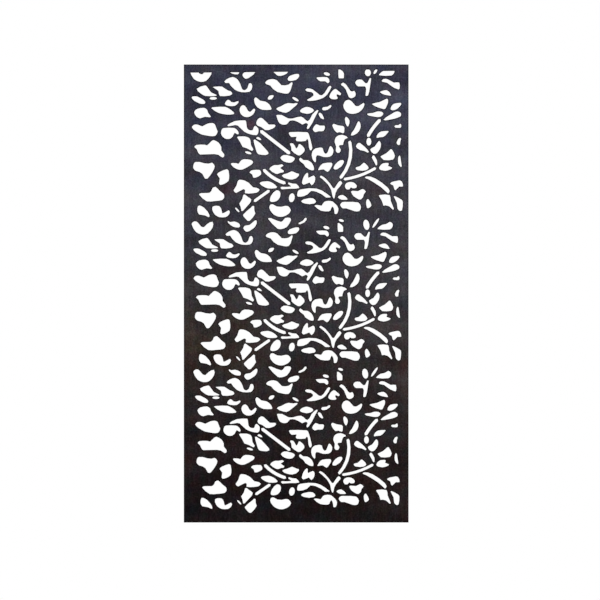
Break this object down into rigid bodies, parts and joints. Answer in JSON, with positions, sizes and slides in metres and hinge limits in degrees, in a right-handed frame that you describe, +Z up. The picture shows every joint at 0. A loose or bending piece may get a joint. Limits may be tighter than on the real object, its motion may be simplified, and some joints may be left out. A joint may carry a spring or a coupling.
{
  "type": "laser cut metal screen",
  "caption": "Tall flat steel privacy screen, laser cut with a repeating leaf and twig pattern, on a rear frame of square tube with angle cleats for fixing between posts.",
  "frame": {"origin": "middle of the lowest edge's box: halfway across and through the depth, at the foot of the sheet", "axes": "+Z up the screen; -Y towards the viewer of the clean front face; +X to that viewer's right"},
  "size_m": [1.175, 0.079, 2.395],
  "materials": {
    "sheet_finish": "satin powder coat, near black with a violet-brown cast",
    "frame_finish": "satin powder coat, near black",
    "key_metal": "mill finish",
    "rivet_metal": "bright, as set",
    "stud_steel": "bright steel with a faint copper flash",
    "zinc_plate": "bright zinc plate",
    "yellow_zinc": "yellow zinc plate"
  },
  "bodies": {
    "root": {"laser_cut_sheet": "sheet_finish", "left_stile": "frame_finish", "right_stile": "frame_finish", "head_rail": "frame_finish", "foot_rail": "frame_finish", "left_upper_cleat": "frame_finish", "left_middle_cleat": "frame_finish", "left_lower_cleat": "frame_finish", "right_upper_cleat": "frame_finish", "right_middle_cleat": "frame_finish", "right_lower_cleat": "frame_finish", "head_left_corner_key": "key_metal", "head_right_corner_key": "key_metal", "foot_left_corner_key": "key_metal", "foot_right_corner_key": "key_metal", "corner_key_rivets": "rivet_metal", "weld_studs": "stud_steel", "stud_washers": "zinc_plate", "stud_nuts": "zinc_plate", "cleat_bolts": "zinc_plate", "cleat_washers": "zinc_plate", "rivet_nuts": "yellow_zinc"}
  },
  "joints": []
}
